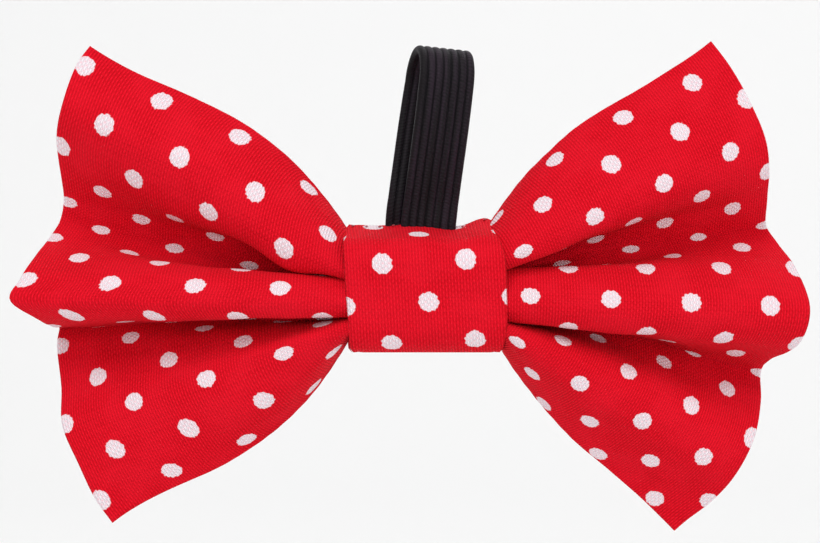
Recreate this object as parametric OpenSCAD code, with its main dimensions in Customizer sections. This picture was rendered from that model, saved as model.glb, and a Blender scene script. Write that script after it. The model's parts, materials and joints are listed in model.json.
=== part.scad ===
// Pre-tied pleated bow tie with a stiffened centre wrap and a braided elastic loop.
// +X points right as seen from the front, +Z is up and the front faces -Y.
// The origin is the middle of the wrap's flat back face, which seats on a collar.

/* [Wings] */
// Reach of the left wing, from the middle of the wrap to its farthest point
left_reach = 52; // [44:0.5:64]
// Reach of the right wing, from the middle of the wrap to its farthest point
right_reach = 48.2; // [42:0.5:60]
// Height of both wings at their outer corners
wing_h = 60.6; // [46:0.2:76]
// How far the middle ridge stands in front of the valleys at the outer edge
fold_depth = 10.5; // [6:0.5:15]
// Depth of the pleats where they enter the wrap
pinch_depth = 3; // [1:0.2:3.6]
// How far the wing edges bulge past a straight line to the corner
edge_bulge = 0.8; // [0:0.05:1]

/* [Cloth] */
// Thickness of one layer of woven cloth
cloth_t = 0.3; // [0.2:0.05:0.5]
// Thickness of the fusible interfacing
interfacing_t = 0.3; // [0.2:0.05:0.4]
// Seam allowance left outside the interfacing, at the edges of each wing
seam_allowance = 2.6; // [2:0.2:5]
// Diameter of the sewing thread
thread_d = 0.2; // [0.12:0.01:0.22]

/* [Centre wrap] */
// Width of the wrap, across the bow
wrap_w = 20.6; // [16:0.2:26]
// Height of the wrap, outside
wrap_h = 16.4; // [16:0.2:24]
// Depth of the wrap, outside, from its front to its flat back
wrap_d = 11; // [10.6:0.2:16]
// Thickness of the folded cloth of the wrap
wrap_cloth_t = 0.8; // [0.5:0.1:1]
// Radius of the wrap's front corners
wrap_front_r = 3.2; // [2:0.1:4]
// Radius of the wrap's back corners
wrap_back_r = 1.5; // [1.3:0.1:3]
// How far the wrap's interfacing stops short of each end of the wrap
stiffener_short = 2.1; // [0.8:0.1:4]

/* [Elastic] */
// Width of the braided elastic
elastic_w = 7; // [5:0.5:8]
// Thickness of the braided elastic
elastic_t = 1.1; // [0.8:0.1:1.2]
// Height of the loop above the wrap
loop_rise = 21.8; // [18:0.2:36]
// Widest gap between the middles of the loop's two strands
loop_depth = 8; // [7.4:0.2:12]
// Place of the loop's foot, right of the middle
loop_x = 0.4; // [-2:0.1:2]
// Lean of the loop to the right
loop_lean = 6; // [0:1:10]
// Turn of the loop about the upright
loop_yaw = 6; // [0:1:8]
// Length of each elastic tail inside the wrap
tail_len = 10; // [6:0.5:12]

/* [Fits] */
// Clearance between a wing and the gathered waist that it flexes on
flex_gap = 1.6; // [1.4:0.1:2]
// Clearance between layers that lie on each other
layer_gap = 0.05; // [0.03:0.01:0.1]
// Clearance in front of the gathered waist, inside the wrap
waist_gap = 0.3; // [0.1:0.1:0.6]
// Clearance between the tails and the back of the wrap's lining
tail_gap = 0.4; // [0.3:0.1:0.8]
// Clearance above and below the pleats where they enter the wrap
pinch_gap = 0.5; // [0.4:0.1:1.5]
// Gap between the end of the wrap and the first ring of a wing
wing_gap = 0.6; // [0.5:0.1:1]
// Clearance round the elastic where it leaves the wrap
slot_gap = 0.4; // [0.2:0.1:0.8]
// Gap between the tails and the loop, where the loop bends
bend_gap = 0.3; // [0.2:0.1:0.6]
// Height of the tails' ends above the wrap, which lets the loop fold back flat
tail_stand = 1.1; // [1:0.1:2]

/* [Hidden] */

red = [0.78, 0.07, 0.13];
deep_red = [0.6, 0.04, 0.09];
white = [0.93, 0.92, 0.9];
black = [0.07, 0.06, 0.08];

// Grid of each wing: rings from pinch to edge, and steps between fold points
rings = 9;
fold_steps = 3;
// Share of a layer's thickness that is left where the pleats are pressed together
pinch_press = 0.6;
// How far the middle of the wings stands in front of the middle of the wrap's depth
wing_forward = 0.5;
// How far the pleats enter the wrap behind the middle of the wings
pinch_back = 0.6;
// Gap between the gathered waist and the front tail
waist_tail_gap = 0.1;

wrap_t = wrap_cloth_t + layer_gap + interfacing_t;
root_x = wrap_w / 2 + wing_gap;
waist_w = 2 * (root_x - flex_gap);
pinch_h = wrap_h - 2 * wrap_t - 2 * pinch_gap;
// The tails lie against the back of the wrap, front tail ahead of back tail
back_tail_y = -wrap_t - tail_gap - elastic_t / 2;
front_tail_y = back_tail_y - elastic_t - layer_gap;
tails_y = (back_tail_y + front_tail_y) / 2;
waist_back = front_tail_y - elastic_t / 2 - waist_tail_gap;
waist_front = -wrap_d + wrap_t + waist_gap;
wing_y = -wrap_d / 2 - wing_forward;

// Fold points from the top edge to the bottom edge of a wing.
// Each outer point is [reach share, height share of the half height, depth share].
left_folds = [[0.81, 1, 0.25], [0.89, 0.68, 0.55], [0.888, 0.46, 0.2], [0.885, 0.29, -0.45],
              [0.95, 0.1, 0.2], [1, -0.06, 0.55], [0.915, -0.17, -0.4], [0.896, -0.34, 0.05],
              [0.872, -0.62, 0.5], [0.765, -0.975, 0.2]];
right_folds = [[0.75, 1, 0.25], [0.869, 0.7, 0.55], [0.894, 0.53, 0.2], [0.892, 0.28, -0.45],
               [0.973, 0.08, 0.2], [1, -0.1, 0.55], [0.905, -0.3, -0.4], [0.876, -0.45, 0.05],
               [0.849, -0.72, 0.5], [0.656, -1, 0.2]];
// Each pinched point is [height share of the half pinch, depth share].
pinch_folds = [[1, 0.1], [0.72, 0.5], [0.5, 0.2], [0.26, -0.5], [0.1, 0.1],
               [-0.14, 0.5], [-0.4, -0.5], [-0.54, 0], [-0.78, 0.5], [-1, 0.1]];

// ---- curves and surfaces

function mix(a, b, t) = a + (b - a) * t;
function unit(v) = v / norm(v);
function at(p, i) = p[max(0, min(len(p) - 1, i))];

// Catmull-Rom point between p[i] and p[i + 1]
function spline(p, i, t) =
    let (a = at(p, i - 1), b = at(p, i), c = at(p, i + 1), d = at(p, i + 2))
    0.5 * (2 * b + (c - a) * t + (2 * a - 5 * b + 4 * c - d) * t * t
           + (3 * b - a - 3 * c + d) * t * t * t);

function smooth(p, n) = concat(
    [for (i = [0 : len(p) - 2]) for (k = [0 : n - 1]) spline(p, i, k / n)], [p[len(p) - 1]]);

function outer_edge(folds, side, reach) = smooth(
    [for (f = folds) [side * reach * f[0], wing_y - fold_depth * f[2], wing_h / 2 * f[1]]],
    fold_steps);

function pinched_edge(side) = smooth(
    [for (f = pinch_folds) [side * root_x, wing_y + pinch_back - pinch_depth * f[1],
                            pinch_h / 2 * f[0]]], fold_steps);

// Middle surface of a wing at ring share s and fold index i
function wing_point(root, edge, s, i) =
    let (a = at(root, i), b = at(edge, i), lift = s + edge_bulge * s * (1 - s))
    [mix(a[0], b[0], s), mix(a[1], b[1], s), mix(a[2], b[2], lift)];

function wing_normal(root, edge, side, s, i) =
    let (ds = wing_point(root, edge, min(1, s + 0.02), i)
              - wing_point(root, edge, max(0, s - 0.02), i),
         di = wing_point(root, edge, s, i + 1) - wing_point(root, edge, s, i - 1))
    unit(cross(di, ds)) * side;

function layer_point(root, edge, side, s, i, off) =
    wing_point(root, edge, s, i)
    + wing_normal(root, edge, side, s, i) * off * mix(pinch_press, 1, s);

// One cloth layer: a closed sheet between two offsets of the wing surface
module wing_layer(folds, side, reach, near, far, s_end, trim)
{
    root = pinched_edge(side);
    edge = outer_edge(folds, side, reach);
    m = len(edge) - 2 * trim;
    pts = [for (off = [near, far]) for (r = [0 : rings - 1]) for (i = [0 : m - 1])
               layer_point(root, edge, side, s_end * r / (rings - 1), i + trim, off)];
    n = rings * m;
    quads = concat(
        [for (r = [0 : rings - 2]) for (i = [0 : m - 2])
            [r * m + i, r * m + i + 1, (r + 1) * m + i + 1, (r + 1) * m + i]],
        [for (r = [0 : rings - 2]) for (i = [0 : m - 2])
            [n + r * m + i, n + (r + 1) * m + i, n + (r + 1) * m + i + 1, n + r * m + i + 1]],
        [for (r = [0 : rings - 2]) [r * m, (r + 1) * m, n + (r + 1) * m, n + r * m]],
        [for (r = [0 : rings - 2])
            [r * m + m - 1, n + r * m + m - 1, n + (r + 1) * m + m - 1, (r + 1) * m + m - 1]],
        [for (i = [0 : m - 2]) [i, n + i, n + i + 1, i + 1]],
        [for (i = [0 : m - 2])
            [n - m + i, n - m + i + 1, 2 * n - m + i + 1, 2 * n - m + i]]);
    // Each quad becomes two triangles, turned over on the mirrored wing
    tris = [for (q = quads) for (t = [[q[0], q[1], q[2]], [q[0], q[2], q[3]]])
                side > 0 ? t : [t[2], t[1], t[0]]];
    polyhedron(points = pts, faces = tris, convexity = 8);
}

// A round or flat strand swept along a path; u and v are the half sizes of its section
module strand(path, across, u, v, sides)
{
    n = len(path);
    pts = [for (k = [0 : n - 1])
        let (t = unit(at(path, k + 1) - at(path, k - 1)),
             a = unit(across[k] - t * (across[k] * t)),
             b = cross(t, a))
        for (j = [0 : sides - 1])
            let (w = sides == 4 ? [[1, 1], [-1, 1], [-1, -1], [1, -1]][j]
                                : [cos(360 * j / sides), sin(360 * j / sides)])
            path[k] + a * u * w[0] + b * v * w[1]];
    body = [for (k = [0 : n - 2]) for (j = [0 : sides - 1])
        let (j2 = (j + 1) % sides)
        for (t = [[k * sides + j, k * sides + j2, (k + 1) * sides + j2],
                  [k * sides + j, (k + 1) * sides + j2, (k + 1) * sides + j]]) t];
    caps = [for (j = [1 : sides - 2]) for (t = [[0, j + 1, j],
        [(n - 1) * sides, (n - 1) * sides + j, (n - 1) * sides + j + 1]]) t];
    polyhedron(points = pts, faces = [for (f = concat(body, caps)) [f[2], f[1], f[0]]],
               convexity = 8);
}

// Quarter-round corner points, from angle a to a + 90
function corner(cx, cy, r, a) =
    [for (k = [0 : 6]) [cx + r * cos(a + 15 * k), cy + r * sin(a + 15 * k)]];

// Section of the wrap in depth and height, drawn in by inset
function wrap_section(inset) =
    let (y0 = -wrap_d + inset, y1 = -inset, h = wrap_h / 2 - inset,
         rf = max(0.3, wrap_front_r - inset), rb = max(0.3, wrap_back_r - inset))
    concat(corner(y1 - rb, h - rb, rb, 0), corner(y0 + rf, h - rf, rf, 90),
           corner(y0 + rf, -h + rf, rf, 180), corner(y1 - rb, -h + rb, rb, 270));

module across_bow(w)
{
    translate([-w / 2, 0, 0]) rotate([90, 0, 90]) linear_extrude(height = w) children();
}

// ---- wings

thread_sides = 6;
half_core = interfacing_t / 2;
cloth_in = half_core + layer_gap;
cloth_out = cloth_in + cloth_t;
edge_share = 1 - seam_allowance / (left_reach - root_x);

module left_front_cloth()
{
    color(red) wing_layer(left_folds, -1, left_reach, cloth_in, cloth_out, 1, 0);
}

module left_interfacing()
{
    color(white) wing_layer(left_folds, -1, left_reach, -half_core, half_core, edge_share, 1);
}

module left_back_cloth()
{
    color(red) wing_layer(left_folds, -1, left_reach, -cloth_out, -cloth_in, 1, 0);
}

module right_front_cloth()
{
    color(red) wing_layer(right_folds, 1, right_reach, cloth_in, cloth_out, 1, 0);
}

module right_interfacing()
{
    color(white) wing_layer(right_folds, 1, right_reach, -half_core, half_core, edge_share, 1);
}

module right_back_cloth()
{
    color(red) wing_layer(right_folds, 1, right_reach, -cloth_out, -cloth_in, 1, 0);
}

// Lockstitch line inside the turned edges: out along the top, down the side, back in.
// It starts past the rings that are pressed together.
seam_start = 3;
// A direction that no stretch of the seam runs along
seam_across = [0.1, 1, 0.2];

function seam_route(folds, side, reach) =
    let (root = pinched_edge(side), edge = outer_edge(folds, side, reach),
         last = len(edge) - 1, s_seam = mix(edge_share, 1, 0.5))
    concat([for (r = [seam_start : rings]) mix(wing_point(root, edge, s_seam * r / rings, 0),
                                      wing_point(root, edge, s_seam * r / rings, 1), 0.5)],
           [for (i = [1 : last - 1]) wing_point(root, edge, s_seam, i)],
           [for (r = [rings : -1 : seam_start])
               mix(wing_point(root, edge, s_seam * r / rings, last),
                   wing_point(root, edge, s_seam * r / rings, last - 1), 0.5)]);

module edge_seam(folds, side, reach)
{
    route = seam_route(folds, side, reach);
    strand(route, [for (p = route) seam_across], thread_d / 2, thread_d / 2, thread_sides);
}

module left_edge_seam()
{
    color(deep_red) edge_seam(left_folds, -1, left_reach);
}

module right_edge_seam()
{
    color(deep_red) edge_seam(right_folds, 1, right_reach);
}

// ---- knot

waist_mid_y = (waist_front + waist_back) / 2;
waist_half_d = (waist_back - waist_front) / 2;
waist_half_h = wrap_h / 2 - wrap_t - pinch_gap;
// The neck under the gathering thread: its width and how far it is drawn in
neck_w = 4.4;
neck_in = 0.9;
// Pleats down the front and back of the waist, and their notches as a share of its half depth
pleats = 5;
notch_share = 0.26;

// Pleated section of the waist: a zigzag front and back with rounded ends
function waist_section(inset) =
    let (h = waist_half_h - inset, d = waist_half_d - inset, notch = notch_share * d)
    concat([for (k = [0 : 2 * pleats])
               [waist_mid_y - d + (k % 2 == 0 ? notch : 0), h - h * k / pleats]],
           [for (k = [0 : 2 * pleats])
               [waist_mid_y + d - (k % 2 == 0 ? notch : 0), -h + h * k / pleats]]);

module gathered_waist()
{
    color(red) union()
    {
        across_bow(neck_w) polygon(waist_section(neck_in));
        for (side = [-1, 1])
            translate([side * (waist_w + neck_w) / 4, 0, 0])
                across_bow((waist_w - neck_w) / 2 + 0.01) polygon(waist_section(0));
    }
}

thread_turns = 5;
turn_steps = 20;
thread_pitch = thread_d * 1.25 + 0.1;
// Squareness of the thread's path: 1 is an ellipse and 0 a rectangle
thread_square = 0.3;

// Superellipse path round the waist's neck
function neck_point(a) =
    let (c = cos(a), s = sin(a), d = waist_half_d - neck_in + thread_d,
         h = waist_half_h - neck_in + thread_d)
    [waist_mid_y + d * sign(c) * pow(abs(c), thread_square),
     h * sign(s) * pow(abs(s), thread_square)];

module gathering_thread()
{
    start = -thread_pitch * thread_turns / 2;
    path = [for (k = [0 : thread_turns * turn_steps])
        let (p = neck_point(360 * k / turn_steps))
        [start + thread_pitch * k / turn_steps, p[0], p[1]]];
    color(deep_red) strand(path, [for (p = path) [1, 0, 0]], thread_d / 2, thread_d / 2, thread_sides);
}

module elastic_slot(depth)
{
    translate([loop_x - elastic_w / 2 - slot_gap, front_tail_y - elastic_t / 2 - slot_gap,
               wrap_h / 2 - depth])
        cube([elastic_w + 2 * slot_gap,
              back_tail_y - front_tail_y + elastic_t + 2 * slot_gap, depth + 1]);
}

// The slot is cut past the lining's rounded top corner
slot_over = 0.6;

module wrap_ring(outer, inner, short)
{
    difference()
    {
        across_bow(wrap_w - 2 * short) difference()
        {
            polygon(wrap_section(outer));
            polygon(wrap_section(inner));
        }
        elastic_slot(wrap_t + slot_over);
    }
}

// The closing seam lies in a shallow channel along the top, level with the elastic
stitch_len = 2.2;
stitch_pitch = 1.5;
// Clearance round the stitches in their channel, beside the elastic and at the wrap's ends
stitch_gap = 0.3;
stitch_from_slot = 0.8;
stitch_from_end = 0.6;

module centre_wrap()
{
    color(red) difference()
    {
        wrap_ring(0, wrap_cloth_t, 0);
        translate([-wrap_w / 2 - 1, tails_y - stitch_len / 2 - stitch_gap,
                   wrap_h / 2 - thread_d - layer_gap])
            cube([wrap_w + 2, stitch_len + 2 * stitch_gap, 1]);
    }
}

module wrap_interfacing()
{
    color(white) wrap_ring(wrap_cloth_t + layer_gap, wrap_t, stiffener_short);
}

module wrap_closing_stitches()
{
    first = elastic_w / 2 + slot_gap + stitch_from_slot;
    color(deep_red)
        for (side = [-1, 1])
            for (x = [first : stitch_pitch : wrap_w / 2 - stitch_from_end])
                translate([side * x, tails_y - stitch_len / 2, wrap_h / 2 - thread_d / 2])
                    rotate([-90, 0, 0]) cylinder(d = thread_d, h = stitch_len, $fn = 16);
}

// ---- elastic

tail_top = wrap_h / 2 + tail_stand;
// Sideways drift of the back strand from the top of the loop to its foot, and its lean
back_drift = -2;
drift_lean = 7;
loop_foot = tail_top + bend_gap + elastic_w / 2 * sin(loop_lean + drift_lean);
strand_len = 4.4;
loop_top = wrap_h / 2 + loop_rise;

module elastic_tails()
{
    color(black)
        for (y = [front_tail_y, back_tail_y])
            translate([loop_x - elastic_w / 2, y - elastic_t / 2, tail_top - tail_len])
                cube([elastic_w, elastic_t, tail_len]);
}

// The bar tack: rows of thread across the back tail, inside its edges
tack_rows = 5;
tack_edge = 0.6;
tack_drop = 2.7;
tack_pitch = thread_d * 1.6;
tack_lift = 0.01;

module elastic_bar_tack()
{
    color(deep_red)
        for (k = [0 : tack_rows - 1])
            translate([loop_x - elastic_w / 2 + tack_edge,
                       back_tail_y + elastic_t / 2 + thread_d / 2 + tack_lift,
                       wrap_h / 2 - tack_drop - k * tack_pitch])
                rotate([0, 90, 0])
                    cylinder(d = thread_d, h = elastic_w - 2 * tack_edge, $fn = 16);
}

// The loop's half opening, as a share of its height: narrow foot, full middle, round top
loop_steps = 14;
foot_half = (elastic_t + layer_gap) / 2;
function loop_half(t) =
    foot_half + (loop_depth / 2 - foot_half) * pow(sin(180 * pow(t, 0.9) * 0.5), 1.6);

// Straight legs up to the round crown, then a half circle over the top
crown_r = loop_depth / 2;
leg_h = loop_top - elastic_t / 2 - crown_r - loop_foot;

function leg_point(side, t) =
    [side < 0 ? 0 : mix(back_drift, back_drift / 2, t), side * loop_half(t), leg_h * t];

function crown_point(a) =
    [back_drift / 2 * (1 - cos(a)) / 2, -crown_r * cos(a), leg_h + crown_r * sin(a)];

// Places a point of the loop: yawed about the upright, leaning right, on its foot
function place(p) =
    let (x = p[0] + p[2] * tan(loop_lean), y = p[1])
    [loop_x + x * cos(loop_yaw) - y * sin(loop_yaw), tails_y + x * sin(loop_yaw) + y * cos(loop_yaw),
     loop_foot + p[2]];

elastic_across = [cos(loop_yaw) * cos(loop_lean), sin(loop_yaw), -sin(loop_lean)];
split = strand_len / leg_h;
crown_foot = (strand_len + bend_gap) / leg_h;

module elastic(points)
{
    path = [for (p = points) place(p)];
    strand(path, [for (p = path) elastic_across], elastic_w / 2, elastic_t / 2, 4);
}

module elastic_front_strand()
{
    color(black) elastic([for (k = [0 : 4]) leg_point(-1, split * k / 4)]);
}

module elastic_back_strand()
{
    color(black) elastic([for (k = [0 : 4]) leg_point(1, split * k / 4)]);
}

module elastic_crown()
{
    color(black) elastic(concat(
        [for (k = [0 : loop_steps]) leg_point(-1, mix(crown_foot, 1, k / loop_steps))],
        [for (a = [12 : 12 : 168]) crown_point(a)],
        [for (k = [loop_steps : -1 : 0]) leg_point(1, mix(crown_foot, 1, k / loop_steps))]));
}

left_front_cloth();
left_interfacing();
left_back_cloth();
left_edge_seam();
right_front_cloth();
right_interfacing();
right_back_cloth();
right_edge_seam();
gathered_waist();
gathering_thread();
centre_wrap();
wrap_interfacing();
wrap_closing_stitches();
elastic_tails();
elastic_bar_tack();
elastic_front_strand();
elastic_back_strand();
elastic_crown();
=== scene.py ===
"""Dotted cotton bow tie with a centre wrap and a braided elastic loop.

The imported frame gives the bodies, the joints and the sizes. This file adds the cloth, the braid,
the stitches, their materials and a plain studio round them. Lengths in the shape functions are
in millimetres, and MM turns them into metres.
"""

import json
import math

import bmesh
import bpy
import numpy as np
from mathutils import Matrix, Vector


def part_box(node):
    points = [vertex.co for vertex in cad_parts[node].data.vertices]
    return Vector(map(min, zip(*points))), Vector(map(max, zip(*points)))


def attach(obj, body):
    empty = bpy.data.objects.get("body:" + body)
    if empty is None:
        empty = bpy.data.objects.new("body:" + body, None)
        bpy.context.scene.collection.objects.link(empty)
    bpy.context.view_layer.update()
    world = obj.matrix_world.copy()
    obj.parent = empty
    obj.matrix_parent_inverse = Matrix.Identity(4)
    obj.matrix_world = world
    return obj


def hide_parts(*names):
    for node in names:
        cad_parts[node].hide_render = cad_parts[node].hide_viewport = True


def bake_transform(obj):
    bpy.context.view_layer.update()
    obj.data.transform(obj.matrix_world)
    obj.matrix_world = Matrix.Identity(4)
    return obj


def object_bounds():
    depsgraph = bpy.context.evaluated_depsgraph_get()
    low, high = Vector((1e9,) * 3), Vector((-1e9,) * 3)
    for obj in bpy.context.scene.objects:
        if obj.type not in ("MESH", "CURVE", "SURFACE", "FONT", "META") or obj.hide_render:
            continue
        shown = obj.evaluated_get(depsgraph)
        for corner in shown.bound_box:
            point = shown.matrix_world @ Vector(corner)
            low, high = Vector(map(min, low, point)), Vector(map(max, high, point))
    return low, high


bl_info = {
    "name": "Dotted bow tie",
    "version": (1, 0, 0),
    "blender": (4, 5, 0),
    "location": "View3D > Sidebar > Bow tie",
    "description": "Builds the cloth, braid and stitches of a bow tie around its packed frame",
    "category": "Object",
}

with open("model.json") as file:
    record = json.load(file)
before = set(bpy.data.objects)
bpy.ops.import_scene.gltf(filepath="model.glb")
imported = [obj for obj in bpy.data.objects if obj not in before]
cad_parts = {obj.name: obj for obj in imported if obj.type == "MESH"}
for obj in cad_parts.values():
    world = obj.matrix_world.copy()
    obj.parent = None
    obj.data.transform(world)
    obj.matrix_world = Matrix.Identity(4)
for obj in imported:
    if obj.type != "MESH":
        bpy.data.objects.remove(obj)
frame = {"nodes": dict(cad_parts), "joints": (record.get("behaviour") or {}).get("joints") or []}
CAD_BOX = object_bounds()
MM = 0.001
# Cloth places are kept in the UV map as hundredths of their millimetres
UV_PER_MM = 0.01


def corners_mm(node):
    """Lowest and highest corner of a frame node, in millimetres."""
    low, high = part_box(node)
    return np.array(low) / MM, np.array(high) / MM


TAILS_LOW, TAILS_HIGH = corners_mm("elastic_tails")
TAILS_Y = (TAILS_LOW[1] + TAILS_HIGH[1]) / 2
CROWN_LOW, CROWN_HIGH = corners_mm("elastic_crown")
THREAD_LOW, THREAD_HIGH = corners_mm("gathering_thread")
WING_HINGE_MM = abs(frame["joints"][0]["pos_m"][0]) / MM

# ---- the pattern pieces

# The bag of the bow is one rectangle, pinched across its middle. A point of it has a place
# along the bow (u, from the middle) and across it (v, from the row of dots on the ridge).
# Root of each wing, beside the wrap: (v, distance from the middle, height, depth)
LEFT_ROOT = [
    (44.9, 9.8, 6.6, -2.6), (42.0, 10.0, 6.9, -3.6), (36.75, 10.5, 5.2, -7.6),
    (31.5, 10.5, 1.9, -9.6), (29.0, 10.5, 1.2, -8.6), (26.25, 10.5, 1.5, -6.0),
    (22.4, 10.5, 1.8, -2.2), (20.5, 10.5, 1.4, -1.5), (14.7, 10.5, 0.3, -1.5),
    (12.8, 10.5, -0.2, -2.2), (9.0, 10.5, 0.3, -4.2), (5.25, 10.5, 1.0, -6.6),
    (0.0, 10.5, -0.5, -9.6), (-2.6, 10.5, -2.4, -9.8), (-5.25, 10.5, -3.7, -8.4),
    (-7.5, 10.5, -3.6, -6.0), (-12.0, 10.5, -3.1, -2.2), (-13.5, 10.5, -3.3, -1.5),
    (-18.5, 10.5, -4.4, -1.5), (-20.5, 10.5, -4.7, -2.2), (-26.25, 10.5, -4.4, -7.2),
    (-29.0, 10.4, -5.0, -9.4), (-31.5, 10.3, -5.9, -9.5), (-36.75, 10.2, -6.7, -7.2),
    (-42.0, 10.0, -6.8, -3.4), (-45.2, 9.7, -6.4, -2.4),
]
RIGHT_ROOT = [
    (45.6, 7.9, 7.1, -2.6), (42.0, 7.9, 6.8, -4.4), (36.75, 8.8, 5.6, -8.0),
    (31.5, 9.8, 3.2, -9.6), (29.0, 10.2, 2.4, -8.8), (26.25, 10.4, 2.3, -6.2),
    (22.4, 10.5, 2.7, -2.2), (20.5, 10.5, 2.4, -1.5), (14.7, 10.5, 1.4, -1.5),
    (12.8, 10.5, 1.0, -2.2), (9.0, 10.5, 1.5, -4.2), (5.25, 10.5, 2.0, -6.8),
    (0.0, 10.5, -1.2, -9.7), (-2.6, 10.5, -3.0, -9.7), (-5.25, 10.5, -4.3, -8.2),
    (-7.5, 10.5, -4.2, -6.0), (-12.0, 10.5, -3.8, -2.2), (-13.5, 10.5, -4.0, -1.5),
    (-18.5, 10.5, -4.8, -1.5), (-20.5, 10.5, -5.0, -2.2), (-26.25, 10.3, -4.8, -7.4),
    (-29.0, 10.0, -5.0, -9.4), (-31.5, 9.6, -5.5, -9.4), (-36.75, 8.8, -5.8, -7.0),
    (-42.0, 8.3, -5.5, -4.0), (-43.6, 8.2, -5.1, -3.0),
]
# Outer edge of each wing: (v, distance from the middle, height, depth, bulge of that row)
LEFT_EDGE = [
    (44.9, 42.3, 30.2, -7.6, 1.2), (42.0, 43.7, 28.1, -8.6, 1.0),
    (36.75, 45.6, 22.8, -9.3, 0.37), (31.5, 46.6, 18.3, -5.9, 0.0),
    (29.0, 46.5, 16.1, -4.3, -0.1), (26.25, 46.3, 14.0, -2.6, 0.1),
    (21.0, 46.2, 11.1, -0.8, 0.5),
    (15.75, 46.8, 8.2, -0.3, -0.5), (10.5, 48.0, 5.8, -2.8, -1.1),
    (5.25, 49.2, 3.7, -7.0, -0.4), (0.0, 50.8, 0.5, -10.8, 0.0), (-3.2, 51.8, -1.8, -11.4, 0.0),
    (-5.25, 49.6, -3.3, -10.0, 0.0), (-10.5, 47.8, -4.6, -5.0, 0.0),
    (-15.75, 46.8, -5.1, -1.0, -0.5), (-21.0, 46.9, -7.8, -2.6, -1.2),
    (-26.25, 46.1, -12.9, -5.0, 0.0), (-31.5, 45.9, -17.6, -6.0, 0.0),
    (-36.75, 43.9, -22.3, -6.4, 1.2), (-42.0, 41.5, -27.3, -6.0, 1.35),
    (-45.2, 39.6, -30.0, -5.4, 1.2),
]
RIGHT_EDGE = [
    (45.6, 36.2, 31.0, -5.0, 0.88), (42.0, 38.2, 28.2, -6.0, 0.88),
    (36.75, 40.7, 23.7, -7.0, 0.5), (31.5, 42.7, 19.0, -7.4, 0.0),
    (26.25, 43.4, 14.8, -6.4, 0.1), (21.0, 43.5, 11.3, -3.2, 0.6),
    (15.75, 43.6, 7.8, -0.4, 0.1), (10.5, 45.0, 5.2, -2.4, -0.6), (5.25, 46.9, 1.9, -7.0, 0.0),
    (0.0, 48.1, -2.8, -10.8, 0.0), (-5.25, 47.0, -6.9, -9.4, 0.0),
    (-10.5, 43.9, -8.9, -5.0, -0.5), (-15.75, 42.9, -11.0, -1.2, -1.8),
    (-21.0, 42.6, -14.9, -3.6, -1.0), (-26.25, 41.4, -19.4, -7.0, -0.5),
    (-31.5, 39.1, -23.8, -6.8, 0.2), (-36.75, 36.3, -27.2, -4.8, 0.5),
    (-42.0, 32.9, -30.1, -3.0, 0.6), (-43.6, 31.7, -31.2, -2.6, 0.6),
]
# Where the print ends on each wing, and how far it creeps outwards half way: (v, end, creep)
LEFT_PRINT = [
    (-12.0, 50.3, 1.0), (-5.0, 50.2, 0.3), (0.0, 50.7, 0.0), (5.0, 50.3, 0.2), (40.0, 50.7, 0.3),
]
RIGHT_PRINT = [
    (-12.0, 50.5, 0.4), (-3.0, 50.3, 0.2), (3.0, 50.3, 0.2), (12.0, 50.5, 0.6), (40.0, 50.5, 0.6),
]
# The spare cloth of each valley lies in a tuck beside the wrap: where it is, how wide and
# how deep, and how soon it runs out along the wing
TUCKS = (17.6, -16.0)
TUCK_WIDTH, TUCK_DEPTH, TUCK_REACH = 2.0, 3.9, 0.42
# The upper flap rests on the ridge beside the wrap: where, how far round it, and how far down
REST_V, REST_WIDTH, REST_S, REST_REACH = 28.5, 2.4, 0.18, 0.1
# How much the folds belly forwards half way along a wing: only those that come further forward
# than the first depth, and fully after the second further on
BELLY, BELLY_FROM, BELLY_RANGE = 1.4, 4.0, 6.0
# How soon a row's bulge dies away towards the outer edge
BULGE_POWER = 1.9
# Shares of the rounding at which the samples beside an edge lie
EDGE_STEPS = [0.0, 0.08, 0.3, 0.62, 1.0]
# The bag's turned-in seam allowance, and where the seam and the interfacing lie inside it
SEAM_ALLOWANCE, SEAM_TRIM, INTERFACING_HALF = 6.0, 2.6, 0.12
# Where the wings' cloth, the waist's, the interfacing and the seam start, as shares of a wing
CLOTH_START, WAIST_START, INTERFACING_START, SEAM_START = -0.05, -0.035, 0.03, 0.3
# Points of a sheet's rim closer than this are one point
WELD_MM = 0.002
# Thickness of a stitch, and the height of the row that closes the wrap
THREAD, WRAP_SEAM_Z = 0.2, 7.95


class WingPattern:
    """One wing of the bow: its root, edge and print, and how far along the bow it reaches."""

    def __init__(self, name, side, root, edge, printed, end_u, drop):
        self.name, self.side, self.end_u, self.drop = name, side, end_u, drop
        self.root, self.edge = np.array(root[::-1]), np.array(edge[::-1])
        self.printed = np.array(printed)
        self.low_v, self.high_v = self.edge[0, 0], self.edge[-1, 0]
        self.start_u = WING_HINGE_MM


WINGS = {
    "left_wing": WingPattern("left_wing", -1, LEFT_ROOT, LEFT_EDGE, LEFT_PRINT, 51.0, 1.4),
    "right_wing": WingPattern("right_wing", 1, RIGHT_ROOT, RIGHT_EDGE, RIGHT_PRINT, 50.5, 0.3),
}


def through(knots, values, t):
    """Smooth curve through values at increasing knots, read at t."""
    slope = np.gradient(values, knots, axis=0)
    k = np.clip(np.searchsorted(knots, t, side="right") - 1, 0, len(knots) - 2)
    h = (knots[k + 1] - knots[k])[..., None]
    f = (t[..., None] - knots[k][..., None]) / h
    return (
        (1 + 2 * f) * (1 - f) ** 2 * values[k]
        + f * (1 - f) ** 2 * h * slope[k]
        + f * f * (3 - 2 * f) * values[k + 1]
        + f * f * (f - 1) * h * slope[k + 1]
    )


def hump(share):
    """0 at shares 0 and 1, and 1 half way between them."""
    inside = np.clip(share, 0, 1)
    return 4 * inside * (1 - inside)


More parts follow.
